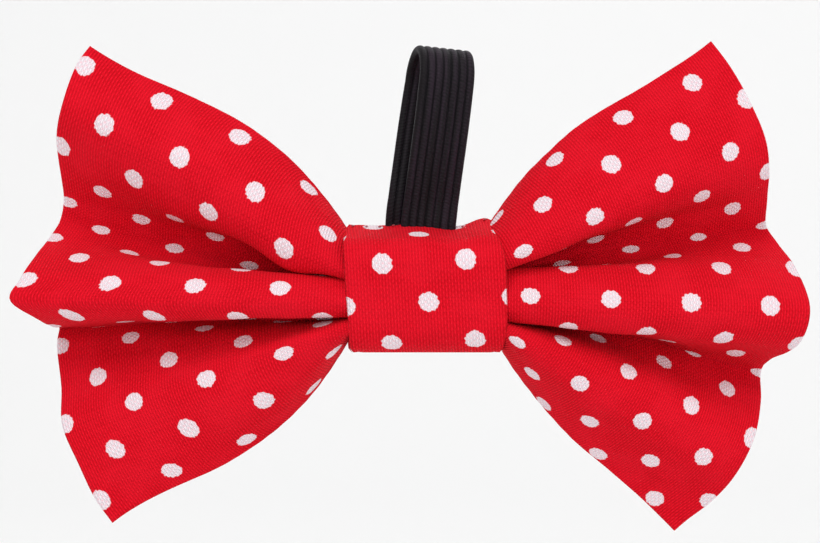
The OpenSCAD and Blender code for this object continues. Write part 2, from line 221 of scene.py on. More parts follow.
def wing_surface(wing, s, v):
    """Points of a wing's middle surface at shares s from the wrap and pattern places v."""
    root = through(wing.root[:, 0], wing.root[:, 1:], v)
    edge = through(wing.edge[:, 0], wing.edge[:, 1:], v)
    lift = s + edge[..., 3] * s * np.maximum(1 - s, 0) ** BULGE_POWER
    x = root[..., 0] + (edge[..., 0] - root[..., 0]) * s
    z = root[..., 1] + (edge[..., 1] - root[..., 1]) * lift
    rest = np.exp(-(((v - REST_V) / REST_WIDTH) ** 2) - ((s - REST_S) / REST_REACH) ** 2)
    z = z - wing.drop * rest
    y = root[..., 2] + (edge[..., 2] - root[..., 2]) * s
    forward = np.clip((-edge[..., 2] - BELLY_FROM) / BELLY_RANGE, 0, 1)
    y = y - BELLY * hump(s) * forward
    fade = np.clip(1 - s / TUCK_REACH, 0, 1) ** 2
    for middle in TUCKS:
        y = y - TUCK_DEPTH * fade * np.exp(-(((v - middle) / TUCK_WIDTH) ** 2))
    return np.stack([wing.side * x, y, z], -1)


def eased(start, end, count, near):
    """Even samples from start to end, with closer ones at both ends to round the edges."""
    inner = np.linspace(start + near, end - near, count)
    steps = np.array(EDGE_STEPS[:-1]) * near
    return np.concatenate([start + steps, inner, (end - steps)[::-1]])


def unit(vectors):
    """The same vectors with length 1."""
    return vectors / np.linalg.norm(vectors, axis=-1, keepdims=True)


def reach_of(line):
    """Distance of each point of a line from its first, along the line."""
    return np.concatenate([[0], np.cumsum(np.linalg.norm(np.diff(line, axis=0), axis=1))])


def normals_of(points, side):
    """Unit normals of a grid of points, facing the front of the bow."""
    along = np.gradient(points, axis=0)
    across = np.gradient(points, axis=1)
    return unit(np.cross(across, along) * side)


def ripple(u, v, seed):
    """Small even unevenness of pressed cloth, between about -1 and 1."""
    rng = np.random.default_rng(seed)
    total = np.zeros_like(u)
    for _ in range(9):
        angle = rng.uniform(0, math.pi)
        length = rng.uniform(7, 19)
        phase = rng.uniform(0, 2 * math.pi)
        along = u * math.cos(angle) + v * math.sin(angle)
        total += np.sin(2 * math.pi * along / length + phase) / 4
    return total


# ---- meshes


def add_object(name, data):
    """A new object in the scene, with that data."""
    obj = bpy.data.objects.new(name, data)
    bpy.context.scene.collection.objects.link(obj)
    return obj


def mesh_object(name, points, quads, uvs, flat=()):
    """A mesh object at the origin, from points in mm, faces, a UV for each point, and flat faces."""
    mesh = bpy.data.meshes.new(name)
    mesh.from_pydata((np.asarray(points) * MM).tolist(), [], [list(q) for q in quads])
    layer = mesh.uv_layers.new(name="cloth")
    index = np.zeros(len(mesh.loops), int)
    mesh.loops.foreach_get("vertex_index", index)
    layer.data.foreach_set("uv", (np.asarray(uvs)[index] * UV_PER_MM).ravel())
    mesh.polygons.foreach_set("use_smooth", [k not in flat for k in range(len(mesh.polygons))])
    mesh.validate()
    mesh.update()
    return add_object(name, mesh)


def grid_quads(rows, cols, start=0, turn=False, close=False):
    """Quads of a grid of points stored row by row; close joins the last column to the first."""
    r = np.arange(rows - 1)[:, None]
    c = np.arange(cols if close else cols - 1)[None, :]
    d = (c + 1) % cols
    quads = np.stack([r * cols + c, r * cols + d, (r + 1) * cols + d, (r + 1) * cols + c], -1)
    quads = quads.reshape(-1, 4) + start
    return quads[:, ::-1] if turn else quads


def outward(obj, welded=False):
    """Turns a closed mesh's faces outwards, with the points that meet made one if welded."""
    work = bmesh.new()
    work.from_mesh(obj.data)
    if welded:
        bmesh.ops.remove_doubles(work, verts=work.verts, dist=WELD_MM * MM)
    bmesh.ops.recalc_face_normals(work, faces=work.faces)
    work.to_mesh(obj.data)
    work.free()
    return obj


def wing_grid(wing, start_s, trim, counts=(84, 190)):
    """Pattern places and surface points of a wing, drawn in by trim at its sewn edges."""
    end_s = 1 - trim / (wing.end_u - wing.start_u)
    s = eased(start_s, end_s, counts[0], 0.012)
    v = eased(wing.low_v + trim, wing.high_v - trim, counts[1], 0.5)
    s, v = np.meshgrid(s, v, indexing="ij")
    points = wing_surface(wing, s, v)
    step = np.linalg.norm(np.diff(points, axis=0), axis=-1)
    length = np.concatenate([np.zeros((1, v.shape[1])), np.cumsum(step, 0)])
    first = wing.start_u + (wing.end_u - wing.start_u) * start_s
    u = first + (wing.end_u - trim - first) * length / length[-1]
    return s, u, v, points


def print_u(wing, u, v):
    """Where a point of a wing lies along the printed pattern."""
    share = (u - wing.start_u) / (wing.end_u - wing.start_u)
    end = np.interp(v, wing.printed[:, 0], wing.printed[:, 1])
    creep = np.interp(v, wing.printed[:, 0], wing.printed[:, 2])
    return wing.start_u + share * (end - wing.start_u) - creep * hump(share)


def sheet_object(name, front, back, u, v, welded=True):
    """A closed sheet between a front and a back grid of points, welded where they meet."""
    rows, cols = u.shape
    n = rows * cols
    uv = np.stack([u, v], -1).reshape(-1, 2)
    quads = [grid_quads(rows, cols), grid_quads(rows, cols, n, turn=True), side_quads(rows, cols, n)]
    points = np.concatenate([front.reshape(-1, 3), back.reshape(-1, 3)])
    obj = mesh_object(name, points, np.concatenate(quads), np.concatenate([uv, uv]))
    return outward(obj, welded)


def wing_cloth(wing, cloth):
    """The sewn and turned bag of one wing, both layers, with its rounded edges."""
    s, u, v, points = wing_grid(wing, CLOTH_START, 0)
    normal = normals_of(points, wing.side)
    to_edge = np.minimum(np.minimum(v - wing.low_v, wing.high_v - v), wing.end_u - u)
    to_edge = np.maximum(to_edge, 0)
    pressed = np.clip(0.55 + 1.2 * s, 0.5, 1)
    full = cloth.layer_half * pressed
    rim = np.clip(to_edge / full, 0, 1)
    half = full * np.sqrt(np.maximum(0, 1 - (1 - rim) ** 2))
    turned = 0.5 + 0.5 * np.tanh((SEAM_ALLOWANCE - to_edge) / 0.5)
    pucker_length, pucker_reach = 2.6, 1.2
    wave = np.sin((u + v * 0.7) * 2 * math.pi / pucker_length)
    pucker = wave * np.exp(-to_edge / pucker_reach)
    half = half * (1 + 0.2 * turned + 0.1 * pucker * rim)
    open_share = np.clip(s * 3, 0, 1)
    seed = 11 if wing.side < 0 else 12
    sway = ripple(u, v, seed) * cloth.unevenness * open_share
    middle = points + normal * sway[..., None]
    offset = normal * half[..., None]
    printed = print_u(wing, u, v) * wing.side
    return sheet_object(wing.name + "_cloth", middle + offset, middle - offset, printed, v)


def wing_stiffener(wing):
    """The interfacing inside a wing, which stops short of the sewn edges."""
    _, u, v, points = wing_grid(wing, INTERFACING_START, SEAM_TRIM, (30, 90))
    offset = normals_of(points, wing.side) * INTERFACING_HALF
    name = wing.name.replace("wing", "interfacing_sheet")
    return sheet_object(name, points + offset, points - offset, u * wing.side, v)


def seam_path(wing):
    """Route of the seam inside a wing's edges: out along the top, down the side and back."""
    end_s = 1 - SEAM_TRIM / 2 / (wing.end_u - wing.start_u)
    top, low = wing.high_v - SEAM_TRIM / 2, wing.low_v + SEAM_TRIM / 2
    s = np.linspace(SEAM_START, end_s, 50)
    v = np.linspace(top, low, 90)[1:-1]
    shares = np.concatenate([s, np.full_like(v, end_s), s[::-1]])
    places = np.concatenate([np.full_like(s, top), v, np.full_like(s, low)])
    return wing_surface(wing, shares, places)


def side_quads(rows, cols, n):
    """Quads that close the rim between a front grid and the back grid n points on."""
    loop = (
        list(range(cols))
        + [r * cols + cols - 1 for r in range(1, rows)]
        + [(rows - 1) * cols + c for c in range(cols - 2, -1, -1)]
        + [r * cols for r in range(rows - 2, 0, -1)]
    )
    nxt = loop[1:] + loop[:1]
    return np.array([[a, b, b + n, a + n] for a, b in zip(loop, nxt)])


# ---- shader maths


class Sock:
    """A socket that can be used in Python expressions; each operator adds a Math node."""

    def __init__(self, tree, socket):
        self.tree, self.socket = tree, socket

    def math(self, operation, *values):
        inputs = dict(enumerate((self,) + values))
        return add_node(self.tree, "ShaderNodeMath", {"operation": operation}, inputs)

    def __add__(self, other):
        return self.math("ADD", other)

    __radd__ = __add__

    def __sub__(self, other):
        return self.math("SUBTRACT", other)

    def __rsub__(self, other):
        return (self * -1) + other

    def __mul__(self, other):
        return self.math("MULTIPLY", other)

    __rmul__ = __mul__

    def __truediv__(self, other):
        return self.math("DIVIDE", other)

    def wave(self, period):
        """Cosine of that period."""
        return (self * (2 * math.pi / period)).math("COSINE")

    def cell(self, size, shift=0.0):
        """Distance from the nearest multiple of size."""
        return ((self - shift) / size).math("ADD", 0.5).math("FRACT") * size - size / 2

    def step(self, low, high):
        """0 below low, 1 above high, smooth between."""
        return add_node(
            self.tree, "ShaderNodeMapRange", {"interpolation_type": "SMOOTHSTEP"},
            {"Value": self, "From Min": low, "From Max": high},
        )


def add_node(tree, kind, settings=None, inputs=None, out=0):
    """Adds a node: settings first, then sockets by name or number, linked or valued."""
    node = tree.nodes.new(kind)
    for key, value in (settings or {}).items():
        setattr(node, key, value)
    for key, value in (inputs or {}).items():
        target = node.inputs[key]
        if isinstance(value, Sock):
            tree.links.new(value.socket, target)
        else:
            target.default_value = value
    return Sock(tree, node.outputs[out])


def mix_colour(tree, share, a, b):
    """Mix of two colours."""
    node = tree.nodes.new("ShaderNodeMix")
    node.data_type = "RGBA"
    for socket, value in ((node.inputs[0], share), (node.inputs[6], a), (node.inputs[7], b)):
        if isinstance(value, Sock):
            tree.links.new(value.socket, socket)
        else:
            socket.default_value = value
    return Sock(tree, node.outputs[2])


def new_material(name, **values):
    """A Principled material with constant sockets set, its tree and its shader."""
    mat = bpy.data.materials.new(name)
    mat.use_nodes = True
    tree = mat.node_tree
    shader = tree.nodes["Principled BSDF"]
    for key, value in values.items():
        shader.inputs[key.replace("_", " ")].default_value = value
    return mat, tree, shader


def noise(tree, place, scale, detail, dimensions="2D"):
    """Soft noise between 0 and 1 over a place."""
    return add_node(
        tree, "ShaderNodeTexNoise", {"noise_dimensions": dimensions},
        {"Vector": place, "Scale": scale, "Detail": detail},
    )


def flat_place(tree, u, v):
    """The place (u, v) as one vector."""
    return add_node(tree, "ShaderNodeCombineXYZ", None, {0: u, 1: v})


def cloth_place(tree):
    """The cloth UV in millimetres, along and across the pattern piece."""
    place = add_node(tree, "ShaderNodeUVMap", {"uv_map": "cloth"})
    along = add_node(tree, "ShaderNodeSeparateXYZ", None, {0: place})
    across = Sock(tree, along.socket.node.outputs[1])
    return along * (1 / UV_PER_MM), across * (1 / UV_PER_MM)


def finish_look(tree, shader, colour, height, distance, strength):
    """Feeds a shader its colour and a bump of that height, in metres, and strength."""
    normal = add_node(
        tree, "ShaderNodeBump", None,
        {"Height": height, "Distance": distance, "Strength": strength},
    )
    tree.links.new(colour.socket, shader.inputs["Base Color"])
    tree.links.new(normal.socket, shader.inputs["Normal"])


def plain_weave(u, v, pitch):
    """Height of a plain weave, and which of its two threads lies on top."""
    across, along = u.wave(2 * pitch), v.wave(2 * pitch)
    over = across * along
    warp = across.math("ABSOLUTE") * (over * 0.5 + 0.5).math("SQRT")
    weft = along.math("ABSOLUTE") * (over * -0.22 + 0.22)
    return warp.math("MAXIMUM", weft), over


def dotted_cotton(cloth, name, turn=0.0, shift=(2.8, 0.0)):
    """Printed quilting cotton: staggered dots on a plain weave, with painted shade in the weave's
    hollows.
    """
    mat, tree, shader = new_material(
        name, Roughness=0.85, Sheen_Weight=0.04, Sheen_Roughness=0.4, Specular_IOR_Level=0.08
    )
    shader.inputs["Sheen Tint"].default_value = (1.0, 0.3, 0.35, 1)
    u, v = cloth_place(tree)
    weave, over = plain_weave(u, v, cloth.thread_pitch)
    spot = flat_place(tree, u, v)
    fine = noise(tree, spot, 2.2, 2.0) - 0.5
    broad = noise(tree, spot, 0.16, 3.0)
    slub = noise(tree, flat_place(tree, u * 0.25, v * 2.6), 1.0, 1.0) - 0.5
    turn_c, turn_s = math.cos(turn), math.sin(turn)
    du = u * turn_c + v * turn_s - shift[0]
    dv = v * turn_c - u * turn_s - shift[1]

    def from_dot(offset):
        a = du.cell(cloth.dot_gap, offset)
        b = dv.cell(cloth.dot_gap, offset)
        return (a * a + b * b).math("SQRT")

    nearest = from_dot(0).math("MINIMUM", from_dot(cloth.dot_gap / 2))
    ragged = nearest + fine * 0.3 + over * 0.07
    blur = 0.07
    dot = ragged.step(cloth.dot_radius + blur, cloth.dot_radius - blur)
    # Painted shade: the hollows between the threads take the deep red and the raised threads the
    # red, while the slubs add the threads' own uneven tone
    red = mix_colour(tree, weave * 1.15 + slub * 0.35, tuple(cloth.deep), tuple(cloth.red))
    red = mix_colour(tree, broad.step(0.35, 0.7) * 0.35, red, tuple(cloth.warm))
    # Painted shade on the dots: their hollows between the threads take the dot shade, while the fine
    # noise adds the print's own uneven tone
    white = mix_colour(tree, weave * 0.9 + fine * 0.5, tuple(cloth.dot_shade), tuple(cloth.dot))
    white = mix_colour(tree, over.step(-0.2, -0.9) * 0.22, white, tuple(cloth.red))
    colour = mix_colour(tree, dot, red, white)
    finish_look(tree, shader, colour, weave + slub * 0.5 + dot * 0.15, 0.00016, 0.9)
    return mat


def object_place(tree):
    """The place of a point in its object, in metres."""
    return Sock(tree, tree.nodes.new("ShaderNodeTexCoord").outputs["Object"])


def pale_interfacing():
    """Matt non-woven stiffener."""
    mat, tree, shader = new_material("pale_interfacing", Roughness=0.9)
    fibres = noise(tree, object_place(tree), 2600.0, 4.0, "3D")
    colour = mix_colour(tree, fibres, (0.78, 0.77, 0.74, 1), (0.93, 0.92, 0.9, 1))
    finish_look(tree, shader, colour, fibres, 0.0001, 0.5)
    return mat


def red_thread():
    """Twisted polyester thread."""
    mat, tree, shader = new_material("red_thread", Roughness=0.5, Sheen_Weight=0.2)
    twist = add_node(
        tree, "ShaderNodeTexWave", {"bands_direction": "DIAGONAL"},
        {"Vector": object_place(tree), "Scale": 1400.0, "Distortion": 0.5},
    )
    colour = mix_colour(tree, twist, (0.26, 0.01, 0.02, 1), (0.55, 0.03, 0.06, 1))
    finish_look(tree, shader, colour, twist, 0.00005, 0.6)
    return mat


def black_braid(braid):
    """Braided elastic: fine slanted yarn over parallel rubber cores, with painted shade in the
    grooves between the cores.
    """
    mat, tree, shader = new_material(
        "black_braid", Roughness=0.6, Sheen_Weight=0.05, Sheen_Roughness=0.4,
        Specular_IOR_Level=0.18,
    )
    shader.inputs["Sheen Tint"].default_value = (0.75, 0.72, 0.85, 1)
    u, v = cloth_place(tree)
    side = (u / (braid.width / braid.ribs)).math("FRACT") - 0.5
    off_middle = side.math("ABSOLUTE")
    yarn_pitch = 0.42
    yarn = (v + off_middle * 0.264 + side * 0.35).wave(yarn_pitch) * 0.5 + 0.5
    painted_groove_shade = (off_middle * 2).step(0.55, 1.0)
    fine = noise(tree, flat_place(tree, u, v), 3.0, 2.0)
    cord = noise(tree, flat_place(tree, u * 1.3, v * 0.05), 1.0, 1.0)
    share = yarn * 0.4 + (fine - 0.5) * 0.9 + (cord - 0.5) * 2.4 + 0.15
    colour = mix_colour(tree, share, (0.003, 0.0015, 0.003, 1), (0.017, 0.009, 0.017, 1))
    # Painted shade: the grooves between the rubber cores darkened to near black
    colour = mix_colour(tree, painted_groove_shade * 0.9, colour, (0.0015, 0.001, 0.002, 1))
    finish_look(tree, shader, colour, yarn * 0.6 + fine * 0.5, 0.00008, 0.6)
    return mat


# ---- settings


def size_setting(name, description, default, low, high):
    """A length in millimetres that the user can change."""
    return bpy.props.FloatProperty(
        name=name, description=description + ", mm", default=default, min=low, max=high
    )


def colour_setting(name, description, default):
    """A colour that the user can change."""
    return bpy.props.FloatVectorProperty(
        name=name, description=description, subtype="COLOR", size=4, default=default, min=0, max=1
    )


class ClothSettings(bpy.types.PropertyGroup):
    """Sizes and colours of the printed cotton."""

    thread_pitch: size_setting("Thread pitch", "Distance between threads of the weave", 0.39, 0.2, 1)
    layer_half: size_setting("Half thickness", "Half the thickness of a wing", 0.42, 0.2, 1)
    unevenness: size_setting("Unevenness", "Height of the cloth's soft ripples", 0.12, 0, 1)
    dot_gap: size_setting("Dot gap", "Distance between dots along a row", 10.5, 4, 20)
    dot_radius: size_setting("Dot radius", "Radius of a printed dot", 1.27, 0.5, 4)
    red: colour_setting("Red", "Colour of a raised thread", (0.86, 0.006, 0.022, 1))
    # Deep red is painted shade: the colour of the hollows between the threads
    deep: colour_setting("Deep red", "Colour between the threads", (0.5, 0.001, 0.006, 1))
    warm: colour_setting(
        "Warm red", "Colour of the slightly faded patches", (0.82, 0.009, 0.026, 1)
    )
    dot: colour_setting("Dot", "Colour of the printed dots", (0.95, 0.88, 0.92, 1))
    # Dot shade is painted shade: the colour of the dots in the hollows between the threads
    dot_shade: colour_setting(
        "Dot shade", "Colour of the dots between threads", (0.8, 0.66, 0.72, 1)
    )


class BraidSettings(bpy.types.PropertyGroup):
    """Sizes of the elastic."""

    width: size_setting(
        "Width", "Width of the elastic", float(TAILS_HIGH[0] - TAILS_LOW[0]), 3, 12
    )
    thickness: size_setting("Thickness", "Thickness of the elastic", 1.1, 0.5, 2)
    ribs: bpy.props.IntProperty(
        name="Ribs", description="Number of rubber cores across the elastic", default=7,
        min=3, max=12,
    )


# ---- elastic

# How the loop leans to the right and turns, and how far its back strand stands to the left
LOOP_LEAN, LOOP_YAW, BACK_DRIFT = math.radians(6), math.radians(6), -2.0
# How far the elastic's centre line lies within the crown's depth and under its top
CROWN_INSET, CROWN_COVER = 0.9, 0.62
# The loop starts at one height and the tails end inside it at another, a little thinner there
LOOP_START_Z, TAILS_END_Z, INNER_SHARE = 9.9, 11.5, 0.93


def braid_line(samples=240):
    """Centre line of the whole elastic, from the front tail's end, over the crown, to the back's."""
    half = (CROWN_HIGH[1] - CROWN_LOW[1]) / 2 - CROWN_INSET
    tail_half = (TAILS_HIGH[1] - TAILS_LOW[1]) / 4
    foot = TAILS_HIGH[2] + 0.6
    top = CROWN_HIGH[2] - CROWN_COVER - half
    rise = top - foot
    points = [(0.0, -tail_half, TAILS_LOW[2]), (0.0, -tail_half, foot - 2)]
    shares = np.linspace(0, 1, 15)
    gap = tail_half + (half - tail_half) * np.sin(math.pi / 2 * shares**0.9) ** 1.6
    points += [(0.0, -g, foot + rise * t) for t, g in zip(shares, gap)]
    for angle in np.radians(np.arange(15, 180, 15)):
        drift = BACK_DRIFT / 2 * (1 - math.cos(angle)) / 2
        points.append((drift, -half * math.cos(angle), top + half * math.sin(angle)))
    points += [
        (BACK_DRIFT * (1 - t / 2), g, foot + rise * t)
        for t, g in zip(shares[::-1], gap[::-1])
    ]
    points += [(BACK_DRIFT, tail_half, foot - 2), (BACK_DRIFT * 0.6, tail_half, TAILS_LOW[2])]
    points = np.array(points)
    reach = reach_of(points)
    even = np.linspace(0, reach[-1], samples)
    line = through(reach, points, even)
    lift = np.clip(line[:, 2] - foot + 2, 0, None)
    x = line[:, 0] + lift * math.tan(LOOP_LEAN)
    y = line[:, 1]
    start_x = (TAILS_LOW[0] + TAILS_HIGH[0]) / 2
    ease = np.clip(lift / 4, 0, 1)
    yaw = LOOP_YAW * ease
    cos_yaw, sin_yaw = np.cos(yaw), np.sin(yaw)
    placed = np.stack(
        [start_x + x * cos_yaw - y * sin_yaw, TAILS_Y + x * sin_yaw + y * cos_yaw, line[:, 2]], -1
    )
    lean = LOOP_LEAN * ease
    across = np.stack([cos_yaw * np.cos(lean), sin_yaw, -np.sin(lean)], -1)
    return placed, across, even


def braid_section(braid, per_rib=7):
    """Outline of the elastic: a row of round cords side by side, as (across, out)."""
    pitch = braid.width / braid.ribs
    x = np.linspace(-0.5, 0.5, braid.ribs * per_rib * 2 + 1) * braid.width
    in_rib = np.abs((((x + braid.width / 2) / pitch) % 1) - 0.5) * 2
    out = braid.thickness / 2 * (0.45 + 0.55 * np.sqrt(np.maximum(0, 1 - in_rib**2)))
    taper = np.sqrt(np.maximum(0, 1 - (np.abs(x) / (braid.width / 2 + 0.02)) ** 14))
    out = out * taper
    lower = np.stack([x, -out], -1)[::-1][1:-1]
    return np.concatenate([np.stack([x, out], -1), lower])


def end_cap(first, cols):
    """Faces that close one end of a swept section, between its upper and lower outlines."""
    half = cols // 2
    faces = [[first + 1, first, first + cols - 1]]
    for c in range(1, half - 1):
        faces.append([first + c + 1, first + c, first + cols - c, first + cols - c - 1])
    faces.append([first + half - 1, first + half, first + half + 1])
    return faces


def braid_strip(name, braid, upper):
    """Sweeps the elastic's section along its line: the loop, or its two tails."""
    line, across, length = braid_line()
    tangent = unit(np.gradient(line, axis=0))
    across = unit(across - tangent * (across * tangent).sum(1, keepdims=True))
    out = np.cross(tangent, across)
    section = braid_section(braid)
    cols = len(section)
    if upper:
        inside = np.nonzero(line[:, 2] > LOOP_START_Z)[0]
        runs = [np.arange(inside[0], inside[-1] + 1)]
    else:
        below = np.nonzero(line[:, 2] < TAILS_END_Z)[0]
        gap = np.argmax(np.diff(below)) + 1
        runs = [below[:gap], below[gap:]]
    points, quads, uvs, caps = [], [], [], set()
    for run in runs:
        start = len(points)
        for k in run:
            passed = np.clip((line[k, 2] - LOOP_START_Z) / (TAILS_END_Z - LOOP_START_Z), 0, 1)
            thin = 1 - (1 - INNER_SHARE) * (1 - passed if upper else passed)
            for a, b in section:
                points.append(line[k] + across[k] * a * (0.9 + 0.1 * thin) + out[k] * b * thin)
                uvs.append((a + braid.width / 2, length[k]))
        quads += grid_quads(len(run), cols, start, close=True).tolist()
        ends = end_cap(start, cols) + end_cap(start + (len(run) - 1) * cols, cols)
        caps.update(range(len(quads), len(quads) + len(ends)))
        quads += ends
    return outward(mesh_object(name, points, quads, uvs, caps))


# ---- wrap and waist

# Corners of the wrap's middle line, seen from its end: (depth, height, radius). The top
# falls towards the front.
WRAP_CORNERS = [
    (-10.7, 5.2, 3.0), (-9.8, -8.0, 3.8), (-0.4, -8.0, 1.3), (-0.4, 8.1, 1.2),
]
# How far the wrap reaches left and right, and how much its top stands up or dips
WRAP_LEFT = [
    (-9.5, -9.4), (-7.5, -9.6), (-4.0, -9.75), (-1.5, -9.95), (3.0, -10.25), (8.0, -10.3),
    (12.0, -10.25),
]
WRAP_RIGHT = [
    (-9.5, 9.7), (-7.5, 9.95), (-4.4, 10.25), (-1.0, 10.2), (3.5, 10.0), (6.6, 9.35), (9.5, 8.8),
    (12.0, 8.4),
]
WRAP_TOP = [
    (-10.0, -0.25), (-5.0, -0.35), (-3.0, -0.1), (0.0, -0.1), (3.8, -0.5), (5.0, -0.3),
    (6.8, 0.4), (7.7, 0.55), (8.6, 0.3), (10.0, -0.3),
]
# Behind its front: the half width, and the places round it where that starts and is reached
WRAP_BACK_HALF, FRONT_END, BACK_START = 9.9, 11, 16
# The wrap's print: the height of its middle dot, how it slants, and how it is taken up in height
WRAP_DOT_Z, WRAP_SLANT, WRAP_TAKE_UP = -2.0, 0.06, 1.05
# How much the wrap's front swells out, and how deep a fold lies beside each of its edges
WRAP_SWELL, WRAP_FOLD = 0.2, 0.07


def along_curve(curve, place):
    """The second number of a curve of pairs, at that place or at its nearest end."""
    return float(through(curve[:, 0], curve[:, 1:], np.clip(place, curve[0, 0], curve[-1, 0]))[0])


def rounded_ring(corner_points, samples):
    """Even points round a polygon with rounded corners, starting at the middle of its first side."""
    ring = []
    n = len(corner_points)
    for k, (y, z, r) in enumerate(corner_points):
        here = np.array([y, z])
        before = unit(np.array(corner_points[k - 1][:2]) - here)
        after = unit(np.array(corner_points[(k + 1) % n][:2]) - here)
        half = math.acos(float(before @ after)) / 2
        reach = r / math.tan(half)
        centre = here + unit(before + after) * r / math.sin(half)
        a, b = here + before * reach - centre, here + after * reach - centre
        for share in np.linspace(0, 1, 12):
            turn = math.pi - 2 * half
            p = (a * math.sin((1 - share) * turn) + b * math.sin(share * turn)) / math.sin(turn)
            ring.append(centre + p)
    ring.append(ring[0])
    ring = np.array(ring)
    reach = reach_of(ring)
    even = np.linspace(0, reach[-1], samples + 1)[:-1]
    return np.stack([np.interp(even, reach, ring[:, k]) for k in range(2)], -1), even, reach[-1]


def wrap_sleeve(name, half_t, inset, short, samples=170):
    """A sleeve along the wrap: half its thickness, how far in it lies, how far short it stops."""
    line, even, total = rounded_ring(WRAP_CORNERS, samples)
    tangent = unit(np.roll(line, -1, 0) - np.roll(line, 1, 0))
    out = np.stack([-tangent[:, 1], tangent[:, 0]], -1)
    if (out * (line - line.mean(0))).sum() < 0:
        out = -out
    front = np.argmin(np.abs(line[:, 1]) + 10 * (line[:, 0] - line[:, 0].min()))
    place = (even[front] - even + total / 2) % total - total / 2 + line[front, 1]
    xs = np.linspace(-1, 1, 61)
    edge = np.sqrt(np.maximum(0, 1 - (np.clip(np.abs(xs) * 10 - 9.6, 0, 0.4) / 0.4) ** 2))
    section = [(x, e) for x, e in zip(xs, edge)] + [(x, -e) for x, e in zip(xs, edge)][::-1][1:-1]
    left, right, top = (np.array(t) for t in (WRAP_LEFT, WRAP_RIGHT, WRAP_TOP))
    points, uvs = [], []
    for k in range(samples):
        w = place[k]
        passed = min(1.0, max(0.0, (abs(w) - FRONT_END) / (BACK_START - FRONT_END)))
        low = along_curve(left, w) * (1 - passed) - WRAP_BACK_HALF * passed + short
        high = along_curve(right, w) * (1 - passed) + WRAP_BACK_HALF * passed - short
        raised = float(np.clip((line[k, 1] - 3) / 4.5, 0, 1)) ** 1.5
        raised *= float(np.clip(0.6 - line[k, 0], 0, 1))
        facing = float(np.clip((-8 - line[k, 0]) / 2.6, 0, 1))
        above = w - WRAP_DOT_Z
        for share, e in section:
            x = (low + high) / 2 + share * (high - low) / 2
            swell = WRAP_SWELL * facing * (1 - share**2)
            fold = WRAP_FOLD * math.exp(-(((abs(share) - 0.9) * 10 / 0.35) ** 2))
            offset = half_t * e - inset + swell - (fold if e > 0 else 0)
            y, z = line[k] + out[k] * offset
            points.append((x, y, z + along_curve(top, x) * raised))
            uvs.append((x + WRAP_SLANT * above, WRAP_DOT_Z + WRAP_TAKE_UP * above))
    cols = len(section)
    quads = grid_quads(samples, cols, close=True).tolist()
    last = (samples - 1) * cols
    quads += [[last + c, last + (c + 1) % cols, (c + 1) % cols, c] for c in range(cols)]
    obj = mesh_object(name, points, quads, uvs)
    fix_seam_uv(obj, total)
    return outward(obj)


def fix_seam_uv(obj, total):
    """Keeps the UV of the one row of faces across the wrap's join from running backwards."""
    layer = obj.data.uv_layers["cloth"]
    shift = Vector((WRAP_SLANT, WRAP_TAKE_UP)) * total * UV_PER_MM
    for face in obj.data.polygons:
        rows = [layer.data[i].uv[1] for i in face.loop_indices]
        if max(rows) - min(rows) > total / 2 * UV_PER_MM:
            for i in face.loop_indices:
                if layer.data[i].uv[1] < 0:
                    layer.data[i].uv += shift


# How far the waist reaches to each side and down and up, how many pleats it has, and half of
# the thickness of one
WAIST_HALF, WAIST_LOW_Z, WAIST_TOP_Z = 9.2, -6.7, 6.3
PLEATS, LAYER = 15, 0.15


def waist_pleats():
    """The pleats inside the wrap, squeezed in the middle by the gathering thread."""
    v = np.linspace(0, 1, 300)
    shares = np.linspace(-1, 1, 61)
    ends = []
    for wing in WINGS.values():
        places = wing.low_v + (wing.high_v - wing.low_v) * v
        ends.append(wing_surface(wing, np.full_like(v, WAIST_START), places))
    mid_y = (THREAD_HIGH[1] + THREAD_LOW[1]) / 2
    half_h = (THREAD_HIGH[2] - THREAD_LOW[2]) / 2 - 0.5
    half_d = (THREAD_HIGH[1] - THREAD_LOW[1]) / 2 - 0.45
    ends_y, ends_half = 5.6, 4.3
    rows = []
    for share in shares:
        t = (share + 1) / 2
        t = t * t * (3 - 2 * t)
        yz = ends[0] * (1 - t) + ends[1] * t
        squeeze = math.exp(-((share * 3) ** 2))
        height = np.abs(yz[:, 2]).max()
        z = yz[:, 2] * (1 - squeeze * (1 - half_h / height))
        spread = np.interp(abs(share), [0, 0.35, 0.8, 1], [1, 0.8, 0.2, 0])
        spread_y = mid_y + (yz[:, 1] + ends_y) * half_d / ends_half
        y = yz[:, 1] * (1 - spread) + spread_y * spread
        rows.append(np.stack([np.full_like(z, share * WAIST_HALF), y, z], -1))
    points = np.array(rows)
    deep = 0.75 + 0.8 * np.exp(-((shares * 1.8) ** 2))
    fine = deep[:, None] * np.sin(v * 2 * math.pi * PLEATS)[None, :]
    points = points + normals_of(points, 1) * fine[..., None]
    points[..., 2] = np.clip(points[..., 2], WAIST_LOW_Z, WAIST_TOP_Z)
    offset = normals_of(points, 1) * LAYER
    across = np.broadcast_to(v * 90 - 45, points.shape[:2])
    return sheet_object(
        "waist_pleats", points + offset, points - offset, points[..., 0], across, welded=False
    )


# ---- stitches


